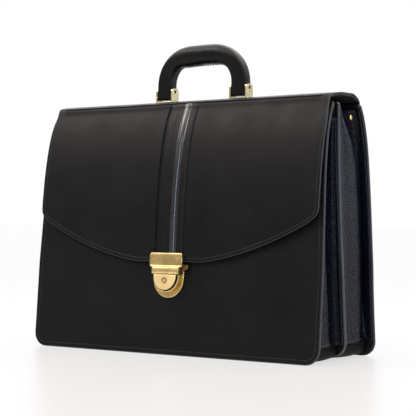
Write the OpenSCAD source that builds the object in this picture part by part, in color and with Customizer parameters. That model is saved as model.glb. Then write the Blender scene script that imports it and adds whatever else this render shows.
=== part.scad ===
// Leather briefcase with two gusseted compartments, a full flap, a tuck lock and a swinging handle.
// Millimetres. +X runs along the width, +Y towards the back, +Z up.
// The origin is at the centre of the footprint, on the surface that the case stands on.

/* [Case] */
// Width of the front and back panels at the foot
case_w = 400; // [360:1:420]
// Width of the panels at the top
case_top_w = 390; // [354:1:414]
// Distance of the front panel's foot in front of the origin
front_foot = 64.2; // [60:0.1:70]
// Distance of the back panel's foot behind the origin
back_foot = 62.5; // [58:0.1:68]
// Height of the front panel
front_top = 264; // [255:1:266]
// Height of the divider
divider_top = 281; // [270:1:283]
// Radius of the panels' lower corners
foot_corner = 17; // [8:1:30]
// Thickness of the outer leather
leather = 2; // [1.6:0.1:2.2]
// Thickness of the stiffening board
board = 1.2; // [0.8:0.1:1.4]
// Thickness of the lining
lining = 0.8; // [0.5:0.1:1]

/* [Flap] */
// Width of the flap
flap_w = 390; // [360:1:392]
// Height of the flap's lowest point
flap_low = 102; // [101:0.5:108]
// Rise of the flap's curved edge from the middle to the corners
flap_rise = 54; // [30:1:70]
// Radius of the flap's corners
flap_corner = 15; // [8:1:25]
// Thickness of the flap's lining
flap_lining_t = 1.5; // [1:0.1:1.6]
// Width of the strip down the middle of the flap
strip_w = 37.5; // [30:0.5:44]

/* [Roof] */
// Thickness of the stiffener in the roof
roof_board_t = 1.4; // [1:0.1:1.6]
// Thickness of the roof's lining
roof_lining_t = 1; // [0.6:0.1:1.2]

/* [Handle] */
// Distance between the middles of the handle's two legs
leg_spacing = 106; // [95:1:115]
// Width of a leg along the case
leg_w = 19.5; // [15:0.5:20]
// Depth of a leg
leg_d = 14.2; // [11:0.2:15]
// Height of the grip's top
grip_top = 357; // [345:0.5:365]
// Height of the grip's own section
grip_h = 24; // [18:0.5:25]
// Distance of the handle behind the origin
handle_y = 9.5; // [2:0.5:9.5]
// Height of the pins that the handle swings on
pin_z = 304; // [303:0.5:306]

/* [Lock] */
// Width of the plate on the flap's edge
hasp_w = 45.4; // [40:0.2:50]
// Width of the lock's round-footed base
lock_w = 42; // [38:0.5:48]
// Height of the keyhole
key_z = 83.7; // [80:0.1:88]

/* [Hidden] */
$fn = 48;
gap = 0.4;
panel_t = leather + board + lining;
front_lean = 0.092;
front_curl = 22.8;
front_bend = 10.6;
divider_t = 5;
divider_face_t = 1.7;
seam_z = 21.8;
floor_z = 5;
gusset_x = 190.5;
gusset_t = 2;
side_top_front = 258;
roof_t = leather + roof_board_t + roof_lining_t;
roof_w = 390;
roof_flat_z = 291;
flap_t = leather + flap_lining_t;
strip_t = 1.4;
strip_low = 116;
strip_top = 280;
ridge_top = 273;
ridge_w = 5;
ridge_t = 1.5;
pin_r = 2;
pin_bore_r = 2.05;
cheek_t = 2;
cheek_d = 13;
cheek_top = 308;
leg_clear = 0.35;
plate_t = 1.6;
leg_end_r = 10;
rivet_r = 1.5;
bracket_rivet_y = 4;
lock_angle = atan(front_lean);
lock_y = front_lean * key_z - front_foot;
hasp_angle = 3.2;
hasp_y = -59.3;
hasp_z = 107;
base_t = 2;
block_t = 4;
block_top = 14.8;
rim_t = 6.4;
rim_top = 6.6;
face_t = 9.7;
barrel_t = 10;
barrel_r = 2.6;
running = 0.05;
stud_r = 3;

// Unit vector, and a vector turned a quarter turn to its left
function unit(v) = v / norm(v);
function leftward(v) = [-v[1], v[0]];
function reversed(p) = [for (i = [len(p) - 1:-1:0]) p[i]];

// A cubic curve from its four control points
function cubic(p, steps = 14) = [for (i = [0:steps]) let (t = i / steps, s = 1 - t)
    s * s * s * p[0] + 3 * s * s * t * p[1] + 3 * s * t * t * p[2] + t * t * t * p[3]];

// A path moved sideways, to its left, by a distance
function side_of(p, i) = leftward(unit(p[i + 1] - p[i]));
function corner_side(p, i) = let (
    before = side_of(p, max(i - 1, 0)),
    after = side_of(p, min(i, len(p) - 2)),
    middle = unit(before + after)) middle / (middle * after);
function moved(p, d) = [for (i = [0:len(p) - 1]) p[i] + d * corner_side(p, i)];

// The closed outline between two distances to the left of a path
function band(p, near, far) = concat(moved(p, near), reversed(moved(p, far)));

// An outline with its corners rounded, each by its own radius
function corner_arc(a, p, b, r, steps = 6) = let (
    u = unit(a - p),
    v = unit(b - p),
    half = acos(u * v) / 2,
    centre = p + unit(u + v) * r / sin(half),
    from = p + u * r / tan(half) - centre,
    turn = (u[0] * v[1] - u[1] * v[0] > 0 ? -1 : 1) * (180 - 2 * half))
    [for (i = [0:steps]) let (w = turn * i / steps)
        centre + [from[0] * cos(w) - from[1] * sin(w), from[0] * sin(w) + from[1] * cos(w)]];
function rounded(p, r) = let (n = len(p)) [for (i = [0:n - 1])
    each (r[i] > 0 ? corner_arc(p[(i + n - 1) % n], p[i], p[(i + 1) % n], r[i]) : [p[i]])];

// Side profiles as [y, z], each with the inside of the case on its left
function front_y(z) = front_lean * z - front_foot + front_curl * pow(max(z, 0) / 290, front_bend);
function divider_y(z) = 0.00033 * z * z - 0.1135 * z - 7;
front_path = [for (i = [0:12]) let (z = front_top - (front_top + 2) * i / 12) [front_y(z), z]];
divider_path = [for (i = [0:12]) let (z = divider_top - (divider_top + 2) * i / 12) [divider_y(z), z]];
back_path = concat([[back_foot + 0.9, -2]],
    cubic([[back_foot, 0], [back_foot - 14, 112], [back_foot + 1.5, 234], [38.2, 278.2]]));
roof_path = [[36, 281.1], [32.8, 284.6], [28.6, 287.2], [24, 289.4], [20.4, roof_flat_z], [-6, roof_flat_z],
    [-13, 290.1], [-20, 289], [-24.6, 288], [-27, 286.9]];
flap_path = cubic([[-27, 282.4], [-45, 256], [-56.6, 190], [-59.5, flap_low - 1]]);

module along_x(w) {
    rotate([90, 0, 90])
        linear_extrude(w, center = true)
            children();
}

module along_y(d) {
    rotate([90, 0, 0])
        linear_extrude(d, center = true)
            children();
}

// A sheet that follows a side profile, cut to a front outline
module curved_sheet(path, near, far, w) {
    intersection() {
        along_x(w + 20)
            polygon(band(path, near, far));
        along_y(300)
            children();
    }
}

module panel_outline(top, inset = 0) {
    foot = case_w / 2 - inset;
    head = case_top_w / 2 - inset;
    r = foot_corner - inset / 2;
    polygon(rounded([[-foot, inset], [foot, inset], [foot, 100], [head, top], [-head, top], [-foot, 100]],
        [r, r, 0, 3, 3, 0]));
}

module flap_outline(inset = 0) {
    half = flap_w / 2 - inset;
    lower = [for (i = [-9:9]) let (x = i * 20) [x, flap_low + inset + flap_rise * pow(2 * x / flap_w, 2)]];
    corner_z = flap_low + inset + flap_rise + 2;
    outline = concat(lower, [[half, corner_z], [half, 262], [half - 5, 290], [5 - half, 290],
        [-half, 262], [-half, corner_z]]);
    polygon(rounded(outline, concat([for (p = lower) 0], [flap_corner, 12, 0, 0, 12, flap_corner])));
}

// Frames that stand on the front panel at the keyhole, and on the flap at its plate.
// In both, -Y points out of the leather and Z runs up along it.
module on_lock() {
    translate([0, lock_y, key_z])
        rotate([-lock_angle, 0, 0])
            children();
}

module on_hasp() {
    translate([0, hasp_y, hasp_z])
        rotate([-hasp_angle, 0, 0])
            children();
}

// A plate that stands out of a frame, from one distance to another
module raised(near, far) {
    translate([0, -near, 0])
        rotate([90, 0, 0])
            linear_extrude(far - near)
                children();
}

module raised_rod(r, near, far) {
    translate([0, -near, 0])
        rotate([90, 0, 0])
            cylinder(h = far - near, r = r);
}

// A plate outline with a half-round foot and a flat top
module shield(w, foot, top) {
    half = w / 2;
    intersection() {
        union() {
            translate([0, foot + half])
                circle(r = half, $fn = 96);
            translate([-half, foot + half])
                square([w, half]);
        }
        translate([-half, foot])
            square([w, top - foot]);
    }
}

module soft_rectangle(w, low, high, r) {
    half = w / 2;
    polygon(rounded([[-half, low], [half, low], [half, high], [-half, high]], [r, r, r, r]));
}

module lock_rivet_places() {
    for (x = [-12, 12])
        translate([x, 0, 11])
            children();
    translate([0, 0, -8])
        children();
}

module hasp_rivet_places() {
    for (x = [-15, 15])
        translate([x, 0, 1])
            children();
}

// Back of the case
module back_leather() {
    color([0.07, 0.065, 0.065])
        curved_sheet(back_path, 0, leather, case_w)
            panel_outline(295);
}

module back_board() {
    color([0.35, 0.3, 0.24])
        curved_sheet(back_path, leather, leather + board, case_w)
            panel_outline(295, 3);
}

module back_lining() {
    color([0.2, 0.16, 0.13])
        curved_sheet(back_path, leather + board, panel_t, case_w)
            panel_outline(295, 3);
}

// One side wall of a compartment, between two side profiles
module gusset_wall(side, front_edge, back_edge, low, high) {
    translate([side * (gusset_x + gusset_t / 2), 0, 0])
        along_x(gusset_t)
            intersection() {
                polygon(concat(front_edge, reversed(back_edge)));
                translate([-100, low])
                    square([200, high - low]);
            }
}

divider_back = moved(divider_path, divider_t + gap);
divider_front = moved(divider_path, -gap);
back_inside = reversed(moved(back_path, panel_t));
front_inside = moved(front_path, panel_t);

module rear_gusset_side(side) {
    color([0.1, 0.1, 0.12])
        difference() {
            gusset_wall(side, divider_back, back_inside, seam_z, 274);
            stud_places(side)
                cylinder(h = 20, r = 1.5, center = true);
        }
}

module rear_gusset_left() {
    rear_gusset_side(-1);
}

module rear_gusset_right() {
    rear_gusset_side(1);
}

// The floor of a compartment, turned up at both ends
module gusset_floor(front_edge, back_edge) {
    ends = gusset_x + gusset_t;
    difference() {
        along_x(2 * ends)
            intersection() {
                polygon(concat(front_edge, reversed(back_edge)));
                translate([-100, floor_z])
                    square([200, seam_z - floor_z]);
            }
        translate([-gusset_x, -100, floor_z + gusset_t])
            cube([2 * gusset_x, 200, 40]);
    }
}

module rear_gusset_bottom() {
    color([0.06, 0.06, 0.06])
        gusset_floor(divider_back, back_inside);
}

module stud_places(side) {
    translate([side * (gusset_x + gusset_t / 2), 24.5, 266])
        rotate([0, side * 90, 0])
            children();
}

module gusset_studs() {
    color([0.78, 0.63, 0.33])
        for (side = [-1, 1])
            stud_places(side) {
                translate([0, 0, -gusset_t / 2 - 1])
                    cylinder(h = gusset_t + 2, r = 1.5);
                translate([0, 0, gusset_t / 2])
                    cylinder(h = 1, r = stud_r);
                translate([0, 0, -gusset_t / 2 - 1])
                    cylinder(h = 1, r = stud_r);
            }
}

// Divider
module divider_front_face() {
    color([0.075, 0.07, 0.07])
        curved_sheet(divider_path, 0, divider_face_t, case_w)
            panel_outline(295, 0.5);
}

module divider_core() {
    color([0.35, 0.3, 0.24])
        curved_sheet(divider_path, divider_face_t, divider_t - divider_face_t, case_w)
            panel_outline(295, 2);
}

module divider_rear_face() {
    color([0.075, 0.07, 0.07])
        curved_sheet(divider_path, divider_t - divider_face_t, divider_t, case_w)
            panel_outline(295, 0.5);
}

// Front of the case
module lock_holes() {
    on_lock() {
        lock_rivet_places()
            raised_rod(rivet_r, -20, 20);
        raised(-0.6, 20)
            pocket_outline();
    }
}

module front_leather() {
    color([0.07, 0.065, 0.065])
        difference() {
            curved_sheet(front_path, 0, leather, case_w)
                panel_outline(front_top);
            lock_holes();
        }
}

module front_board() {
    color([0.35, 0.3, 0.24])
        difference() {
            curved_sheet(front_path, leather, leather + board, case_w)
                panel_outline(front_top - 2, 3);
            lock_holes();
        }
}

module front_lining() {
    color([0.2, 0.16, 0.13])
        difference() {
            curved_sheet(front_path, leather + board, panel_t, case_w)
                panel_outline(front_top - 2, 3);
            lock_holes();
        }
}

module front_gusset_left() {
    color([0.1, 0.1, 0.12])
        gusset_wall(-1, front_inside, divider_front, seam_z, side_top_front);
}

module front_gusset_right() {
    color([0.1, 0.1, 0.12])
        gusset_wall(1, front_inside, divider_front, seam_z, side_top_front);
}

module front_gusset_bottom() {
    color([0.06, 0.06, 0.06])
        gusset_floor(front_inside, divider_front);
}

// Lock, on the front panel
module pocket_outline() {
    soft_rectangle(12, 8.2, 14.6, 1);
}

module lock_base() {
    color([0.72, 0.58, 0.28])
        on_lock()
            difference() {
                raised(0.05, base_t)
                    shield(lock_w, -19.4, 17.4);
                lock_rivet_places()
                    raised_rod(rivet_r, -1, 3);
                raised(-1, 3)
                    pocket_outline();
                raised_rod(barrel_r + running, -1, 3);
            }
}

module lock_body() {
    color([0.62, 0.5, 0.26])
        on_lock()
            difference() {
                union() {
                    raised(base_t, rim_t)
                        shield(35.5, -13.4, rim_top);
                    raised(base_t, block_t)
                        translate([-17.75, rim_top])
                            square([35.5, block_top - rim_top]);
                }
                raised(1, 10)
                    pocket_outline();
                raised(2.2, 3.9)
                    translate([0, 9.9])
                        square([30, 2.8]);
                raised_rod(barrel_r + running, 1, 10);
            }
}

module lock_face() {
    color([0.78, 0.64, 0.33])
        on_lock()
            difference() {
                raised(rim_t, face_t)
                    shield(30.6, -10.9, rim_top - 0.3);
                raised_rod(barrel_r + running, rim_t - 1, face_t + 1);
            }
}

module lock_backplate() {
    color([0.6, 0.6, 0.58])
        on_lock()
            difference() {
                raised(-panel_t - 1.05, -panel_t - 0.05)
                    soft_rectangle(40, -19.5, 19.5, 4);
                lock_rivet_places()
                    raised_rod(rivet_r, -8, 3);
            }
}

module lock_rivets() {
    color([0.72, 0.58, 0.28])
        on_lock()
            lock_rivet_places() {
                raised_rod(rivet_r, -panel_t - 1.05, base_t);
                raised_rod(2.8, -panel_t - 1.85, -panel_t - 1.05);
            }
}

// The side release: a bolt in the lock and a tab outside it
module lock_slide() {
    color([0.5, 0.36, 0.2])
        on_lock() {
            raised(2.35, 3.75)
                translate([6.6, 10.1])
                    square([13, 2.4]);
            raised(2.35, 4.1)
                polygon(rounded([[18.4, 10.1], [28, 13.5], [28, 18.1], [18.4, 18.1]], [0, 1.5, 1.5, 1]));
        }
}

module key_barrel() {
    color([0.85, 0.78, 0.55])
        on_lock()
            difference() {
                raised_rod(barrel_r, 0.5, barrel_t);
                difference() {
                    raised_rod(1.9, barrel_t - 1.8, barrel_t + 1);
                    raised_rod(0.8, barrel_t - 3, barrel_t + 2);
                }
                raised(barrel_t - 1, barrel_t + 1)
                    translate([-0.35, -2.3])
                        square([0.7, 1.2]);
            }
}

// Roof of the case, from the rear seam to the fold of the flap
module bracket_rivet_places() {
    for (side = [-1, 1], y = [-bracket_rivet_y, bracket_rivet_y])
        translate([side * leg_spacing / 2, handle_y + y, 0])
            children();
}

module roof_layer(near, far, inset) {
    difference() {
        curved_sheet(roof_path, near, far, roof_w)
            translate([inset - roof_w / 2, 270])
                square([roof_w - 2 * inset, 30]);
        bracket_rivet_places()
            translate([0, 0, 270])
                cylinder(h = 30, r = rivet_r);
    }
}

module roof_leather() {
    color([0.07, 0.065, 0.065])
        roof_layer(0, leather, 0);
}

module roof_board() {
    color([0.35, 0.3, 0.24])
        roof_layer(leather, leather + roof_board_t, 3);
}

module roof_lining() {
    color([0.2, 0.16, 0.13])
        roof_layer(leather + roof_board_t, roof_t, 3);
}

// A brass clevis for one leg of the handle
module bracket(side) {
    inner = leg_w / 2 + leg_clear;
    translate([side * leg_spacing / 2, handle_y, 0])
        difference() {
            union() {
                translate([-inner - cheek_t, -cheek_d / 2, roof_flat_z])
                    cube([2 * (inner + cheek_t), cheek_d, plate_t]);
                for (s = [-1, 1])
                    translate([s * (inner + cheek_t / 2), 0, 0])
                        along_x(cheek_t)
                            polygon(rounded([[-cheek_d / 2, roof_flat_z], [cheek_d / 2, roof_flat_z],
                                [cheek_d / 2, cheek_top], [-cheek_d / 2, cheek_top]], [0, 0, 3.5, 3.5]));
            }
            translate([-20, 0, pin_z])
                rotate([0, 90, 0])
                    cylinder(h = 40, r = pin_r);
            for (y = [-bracket_rivet_y, bracket_rivet_y])
                translate([0, y, roof_flat_z - 1])
                    cylinder(h = 4, r = rivet_r);
        }
}

module handle_bracket_left() {
    color([0.83, 0.68, 0.36])
        bracket(-1);
}

module handle_bracket_right() {
    color([0.83, 0.68, 0.36])
        bracket(1);
}

module handle_pins() {
    color([0.7, 0.58, 0.35])
        for (side = [-1, 1])
            translate([side * leg_spacing / 2, handle_y, pin_z])
                rotate([0, 90, 0])
                    difference() {
                        cylinder(h = leg_w + 2 * (leg_clear + cheek_t), r = pin_r, center = true);
                        for (s = [-1, 1])
                            translate([0, 0, s * (leg_w / 2 + leg_clear + cheek_t)])
                                cylinder(h = 1.6, r = 1.3, center = true);
                    }
}

module bracket_rivets() {
    color([0.7, 0.58, 0.35])
        bracket_rivet_places() {
            translate([0, 0, roof_flat_z - roof_t - 1])
                cylinder(h = roof_t + plate_t + 1, r = rivet_r);
            translate([0, 0, roof_flat_z - roof_t - 1.8])
                cylinder(h = 0.8, r = 2.4);
        }
}

module bracket_washers() {
    color([0.6, 0.6, 0.58])
        difference() {
            for (side = [-1, 1])
                translate([side * leg_spacing / 2 - 10, handle_y - 8, roof_flat_z - roof_t - 1])
                    cube([20, 13, 1]);
            bracket_rivet_places()
                translate([0, 0, 270])
                    cylinder(h = 30, r = rivet_r);
        }
}

// Handle: a padded bow of leather over a stiff core
module bow(leg_x, w, top, low, r_out) {
    half = leg_x + w / 2;
    inner = leg_x - w / 2;
    polygon(concat(
        rounded([[half, low], [half, top], [-half, top], [-half, low]], [0, r_out, r_out, 0]),
        rounded([[-inner, low], [-inner, top - grip_h], [inner, top - grip_h], [inner, low]],
            [0, 15, 15, 0])));
}

module leg_foot(w) {
    intersection() {
        translate([0, 0, pin_z])
            rotate([0, 90, 0])
                cylinder(h = w, r = leg_end_r, center = true);
        cube([w, leg_d, 700], center = true);
    }
}

module handle_solid() {
    leg_x = leg_spacing / 2;
    translate([0, handle_y, 0]) {
        along_y(leg_d)
            bow(leg_x, leg_w, grip_top, pin_z, 46);
        for (side = [-1, 1])
            translate([side * leg_x, 0, 0])
                leg_foot(leg_w);
        translate([0, 0, grip_top - grip_h / 2])
            rotate([0, 90, 0])
                cylinder(h = 62, r = grip_h / 2 - 0.7, center = true);
    }
}

module handle_core_solid() {
    leg_x = leg_spacing / 2;
    translate([0, handle_y, 0])
        along_y(5)
            difference() {
                polygon(rounded([[leg_x + 3, pin_z - 6], [leg_x + 3, grip_top - 8], [-leg_x - 3, grip_top - 8],
                    [-leg_x - 3, pin_z - 6]], [2, 34, 34, 2]));
                polygon(rounded([[leg_x - 3, pin_z - 7], [leg_x - 3, grip_top - 14],
                    [3 - leg_x, grip_top - 14], [3 - leg_x, pin_z - 7]], [0, 28, 28, 0]));
            }
}

module pin_bores() {
    translate([0, handle_y, pin_z])
        rotate([0, 90, 0])
            cylinder(h = 200, r = pin_bore_r, center = true);
}

module handle_grip() {
    color([0.08, 0.075, 0.075])
        difference() {
            handle_solid();
            handle_core_solid();
            pin_bores();
        }
}

module handle_core() {
    color([0.45, 0.45, 0.47])
        difference() {
            handle_core_solid();
            pin_bores();
        }
}

// Flap
module hasp_holes() {
    on_hasp()
        hasp_rivet_places()
            raised_rod(rivet_r, -10, 10);
}

module flap_leather() {
    color([0.075, 0.07, 0.07])
        difference() {
            curved_sheet(flap_path, 0, leather, flap_w)
                flap_outline();
            hasp_holes();
        }
}

module flap_lining() {
    color([0.2, 0.16, 0.13])
        difference() {
            curved_sheet(flap_path, leather, flap_t, flap_w)
                flap_outline(4);
            hasp_holes();
        }
}

module flap_strip() {
    color([0.06, 0.055, 0.055])
        curved_sheet(flap_path, -strip_t, 0, flap_w)
            translate([-strip_w / 2 - 1.5, strip_low])
                square([strip_w, strip_top - strip_low]);
}

module flap_ridge() {
    color([0.14, 0.13, 0.13])
        curved_sheet(flap_path, -strip_t - ridge_t, -strip_t, flap_w)
            translate([-ridge_w / 2, strip_low])
                square([ridge_w, ridge_top - strip_low]);
}

module hasp_plate() {
    color([0.75, 0.6, 0.3])
        on_hasp()
            difference() {
                raised(0.35, 4.2)
                    soft_rectangle(hasp_w, -8, 8, 2.5);
                hasp_rivet_places()
                    raised_rod(rivet_r, -1, 6);
            }
}

module hasp_bar() {
    color([0.78, 0.63, 0.32])
        on_hasp()
            raised(0.6, 5.4)
                soft_rectangle(37.8, -15.6, -8.05, 1.2);
}

// The tongue stands behind the bar and reaches into the lock's pocket
module hasp_tongue() {
    color([0.6, 0.6, 0.58])
        on_hasp()
            raised(-3, 0.6)
                soft_rectangle(8, -14.3, -10.2, 0.8);
}

module hasp_backplate() {
    color([0.6, 0.6, 0.58])
        on_hasp()
            difference() {
                raised(-flap_t - 0.85, -flap_t - 0.15)
                    soft_rectangle(38, -3, 6, 2);
                hasp_rivet_places()
                    raised_rod(rivet_r, -10, 10);
            }
}

module hasp_rivets() {
    color([0.72, 0.58, 0.28])
        on_hasp()
            hasp_rivet_places()
                raised_rod(rivet_r, -flap_t - 0.85, 4.2);
}

back_leather();
back_board();
back_lining();
rear_gusset_left();
rear_gusset_right();
rear_gusset_bottom();
gusset_studs();
divider_front_face();
divider_core();
divider_rear_face();
front_leather();
front_board();
front_lining();
front_gusset_left();
front_gusset_right();
front_gusset_bottom();
lock_base();
lock_body();
lock_face();
lock_backplate();
lock_rivets();
lock_slide();
key_barrel();
roof_leather();
roof_board();
roof_lining();
handle_bracket_left();
handle_bracket_right();
handle_pins();
bracket_rivets();
bracket_washers();
handle_grip();
handle_core();
flap_leather();
flap_lining();
flap_strip();
flap_ridge();
hasp_plate();
hasp_bar();
hasp_tongue();
hasp_backplate();
hasp_rivets();
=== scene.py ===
"""A leather briefcase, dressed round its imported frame. Lengths in the helpers are millimetres."""

import math
import random

import bmesh
import bpy
import numpy as np
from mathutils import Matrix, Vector, noise
from mathutils.bvhtree import BVHTree
from mathutils.geometry import delaunay_2d_cdt
from mathutils.kdtree import KDTree


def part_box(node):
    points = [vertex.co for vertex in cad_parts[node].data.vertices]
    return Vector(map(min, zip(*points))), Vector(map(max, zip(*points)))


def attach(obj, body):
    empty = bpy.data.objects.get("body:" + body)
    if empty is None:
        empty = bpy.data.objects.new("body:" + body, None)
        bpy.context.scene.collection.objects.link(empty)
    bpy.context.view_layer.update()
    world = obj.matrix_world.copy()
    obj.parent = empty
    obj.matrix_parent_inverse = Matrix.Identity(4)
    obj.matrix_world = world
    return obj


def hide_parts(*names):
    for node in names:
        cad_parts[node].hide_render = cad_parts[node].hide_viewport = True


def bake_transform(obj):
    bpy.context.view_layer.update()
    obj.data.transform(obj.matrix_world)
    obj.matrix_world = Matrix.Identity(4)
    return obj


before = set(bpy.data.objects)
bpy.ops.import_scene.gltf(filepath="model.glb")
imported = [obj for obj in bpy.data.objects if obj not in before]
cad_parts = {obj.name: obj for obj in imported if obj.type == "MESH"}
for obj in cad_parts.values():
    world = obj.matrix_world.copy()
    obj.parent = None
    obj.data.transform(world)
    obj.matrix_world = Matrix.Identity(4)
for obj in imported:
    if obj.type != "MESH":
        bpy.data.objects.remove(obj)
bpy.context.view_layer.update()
rng = random.Random(11)
MM = 0.001


# Side profiles, read from the frame
def tree(node):
    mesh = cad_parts[node].data
    return BVHTree.FromPolygons([v.co for v in mesh.vertices], [p.vertices for p in mesh.polygons])


def meets(surface, x, y, z, direction):
    hit = surface.ray_cast(Vector((x, y, z)) * MM, Vector(direction))[0]
    return None if hit is None else (hit.y / MM, hit.z / MM)


def seen_from(node, x, places, direction):
    surface = tree(node)
    found = [meets(surface, x, y, z, direction) for y, z in places]
    return [p for p in found if p]


def run_along(p):
    """Distance along a run of points"""
    return np.r_[0, np.cumsum(np.hypot(*np.diff(p, axis=0).T))]


class Line:
    """A side profile as [y, z]. Outward is on the right of its run, and s is the distance along it."""

    def __init__(self, points, soften=0.0):
        p = np.array(points, float)
        run = run_along(p)
        s = np.linspace(0, run[-1], int(run[-1] / 0.5) + 1)
        p = np.c_[np.interp(s, run, p[:, 0]), np.interp(s, run, p[:, 1])]
        if soften:
            reach = int(soften * 6)
            k = np.exp(-0.5 * (np.arange(-reach, reach + 1) / (soften * 2)) ** 2)
            k /= k.sum()
            head = 2 * p[0] - p[reach:0:-1]
            tail = 2 * p[-1] - p[-2:-reach - 2:-1]
            full = np.r_[head, p, tail]
            p = np.c_[np.convolve(full[:, 0], k, "valid"), np.convolve(full[:, 1], k, "valid")]
        self.p = p
        self.s = run_along(p)
        t = np.gradient(p, axis=0)
        t /= np.linalg.norm(t, axis=1)[:, None]
        self.t = t
        self.n = np.c_[t[:, 1], -t[:, 0]]
        self.length = self.s[-1]

    def at(self, s, depth=0.0):
        s = np.asarray(s, float)
        over = s - np.clip(s, 0, self.length)
        out = []
        for k in (0, 1):
            n = np.interp(s, self.s, self.n[:, k])
            t = np.interp(s, self.s, self.t[:, k])
            out.append(np.interp(s, self.s, self.p[:, k]) - n * depth + t * over)
        return out

    def of_z(self, z):
        order = 1 if self.p[-1, 1] > self.p[0, 1] else -1
        return np.interp(z, self.p[::order, 1], self.s[::order])

    def y_of_z(self, z, depth=0.0):
        order = 1 if self.p[-1, 1] > self.p[0, 1] else -1
        moved = self.p - self.n * depth
        return np.interp(z, moved[::order, 1], moved[::order, 0])

    def near(self, y, z):
        d = (self.p[None, :, 0] - y[:, None]) ** 2 + (self.p[None, :, 1] - z[:, None]) ** 2
        return self.s[d.argmin(1)]


def steps(a, b, step):
    n = max(1, int(round(abs(b - a) / step)))
    return [a + (b - a) * i / n for i in range(n + 1)]


def box_of(node):
    """A node's lowest and highest corners in millimetres"""
    return [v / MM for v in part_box(node)]


FAR = 400
PROBE_X = 100
FLAP_PROBE_X = 30
ROOF_FRONT_Y = -23
FLAP_TOP_Z = 278
LID_TURN_Z = 283.6
LID_CORNER = (-26.4, 287.0)
DOWN, BACKWARD, FORWARD = (0, 0, -1), (0, 1, 0), (0, -1, 0)
PANEL = 4.0
DIVIDER = 5.0
FOLD_Z = 284.7
roof_high = box_of("roof_leather")[1]
flap_low, flap_high = box_of("flap_leather")
front_high = box_of("front_leather")[1]
back_high = box_of("back_leather")[1]
divider_high = box_of("divider_front_face")[1]
strip_low = box_of("flap_strip")[0]
grip_low, grip_high = box_of("handle_grip")
HALF = back_high.x

roof_places = [(y, FAR) for y in steps(roof_high.y - 0.4, ROOF_FRONT_Y, 1)]
flap_places = [(-FAR, z) for z in steps(FLAP_TOP_Z, flap_low.z + 1.2, 2)]
front_places = [(-FAR, z) for z in steps(front_high.z - 1, 0.4, 4)]
back_places = [(FAR, z) for z in steps(0.4, back_high.z - 0.8, 3)]
divider_places = [(-FAR, z) for z in steps(divider_high.z - 0.5, 0.4, 4)]
roof_points = seen_from("roof_leather", PROBE_X, roof_places, DOWN)
flap_points = seen_from("flap_leather", FLAP_PROBE_X, flap_places, BACKWARD)
front_points = seen_from("front_leather", PROBE_X, front_places, BACKWARD)
back_points = seen_from("back_leather", PROBE_X, back_places, FORWARD)
divider_points = seen_from("divider_front_face", PROBE_X, divider_places, BACKWARD)

lid_line = Line([p for p in roof_points if p[1] > LID_TURN_Z] + [LID_CORNER, (-28.3, LID_TURN_Z)]
                + flap_points, 1.6)
# The front and back panels run on past their CAD nodes, up under the roof
front_top_y = meets(tree("front_leather"), PROBE_X, -FAR, front_high.z - 4, BACKWARD)[0]
front_line = Line([(front_top_y + 10.2, front_high.z + 16.5), (front_top_y + 5.6, front_high.z + 8)]
                  + front_points, 4)
back_line = Line(back_points + [(back_high.y - 26.4, back_high.z + 2.6)], 2)
divider_line = Line(divider_points, 2)
fold_s = float(lid_line.s[lid_line.p[:, 1] >= FOLD_Z][-1])


def lid_s(z):
    """Distance along the lid at a height on the flap"""
    below = lid_line.s > fold_s - 6
    return float(np.interp(-z, -lid_line.p[below, 1], lid_line.s[below]))


def smooth(t):
    t = np.clip(t, 0.0, 1.0)
    return t * t * (3 - 2 * t)


def wave(x, s, size, seed):
    return noise.noise(Vector((x / size, s / size, seed)))


# Materials
def new_material(name, colour, roughness, metallic=0.0, specular=0.5):
    material = bpy.data.materials.new(name)
    material.use_nodes = True
    t = material.node_tree
    shader = t.nodes["Principled BSDF"]
    shader.inputs["Base Color"].default_value = (*colour, 1)
    shader.inputs["Roughness"].default_value = roughness
    shader.inputs["Metallic"].default_value = metallic
    shader.inputs["Specular IOR Level"].default_value = specular
    return material, t, shader


def add(t, kind, inputs, **settings):
    n = t.nodes.new("ShaderNode" + kind)
    for k, v in settings.items():
        setattr(n, k, v)
    for k, v in inputs.items():
        if isinstance(v, bpy.types.NodeSocket):
            t.links.new(v, n.inputs[k])
        else:
            n.inputs[k].default_value = v
    return n


def coordinates(t, flat):
    return add(t, "TexCoord", {}).outputs["UV" if flat else "Object"]


def remap(t, value, start, end, low, high, **settings):
    """A value, stretched from start..end to low..high"""
    inputs = {"Value": value, "From Min": start, "From Max": end, "To Min": low, "To Max": high}
    return add(t, "MapRange", inputs, **settings).outputs["Result"]


def spread(t, value, low, high):
    """A noise value, stretched from its middle range to low..high"""
    return remap(t, value, 0.3, 0.7, low, high)


def cloud(t, where, scale, detail, roughness=0.5):
    inputs = {"Vector": where, "Scale": scale, "Detail": detail, "Roughness": roughness}
    return add(t, "TexNoise", inputs).outputs["Fac"]


def bumped(t, height, strength, depth, **more):
    """A normal from a height. The depth is in millimetres."""
    inputs = {"Height": height, "Strength": strength, "Distance": depth * MM, **more}
    return add(t, "Bump", inputs).outputs["Normal"]


def mixed(t, share, first, second):
    """A colour between two others, each of them a colour or a socket"""
    m = add(t, "Mix", {"Factor": share}, data_type="RGBA")
    for key, v in (("A", first), ("B", second)):
        if isinstance(v, tuple):
            m.inputs[key].default_value = (*v, 1)
        else:
            t.links.new(v, m.inputs[key])
    return m.outputs["Result"]


def tinted(t, where, colour, amount, scale):
    """The colour, a little lighter and darker in patches"""
    dark = tuple(c * (1 - amount) for c in colour)
    light = tuple(min(1, c * (1 + amount)) for c in colour)
    return mixed(t, spread(t, cloud(t, where, scale, 5.0, 0.6), 0.0, 1.0), dark, light)


LEATHER_WEAR = 0.35
PEBBLE_DEPTH = 0.55
NAP_DEPTH = 0.15


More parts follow.
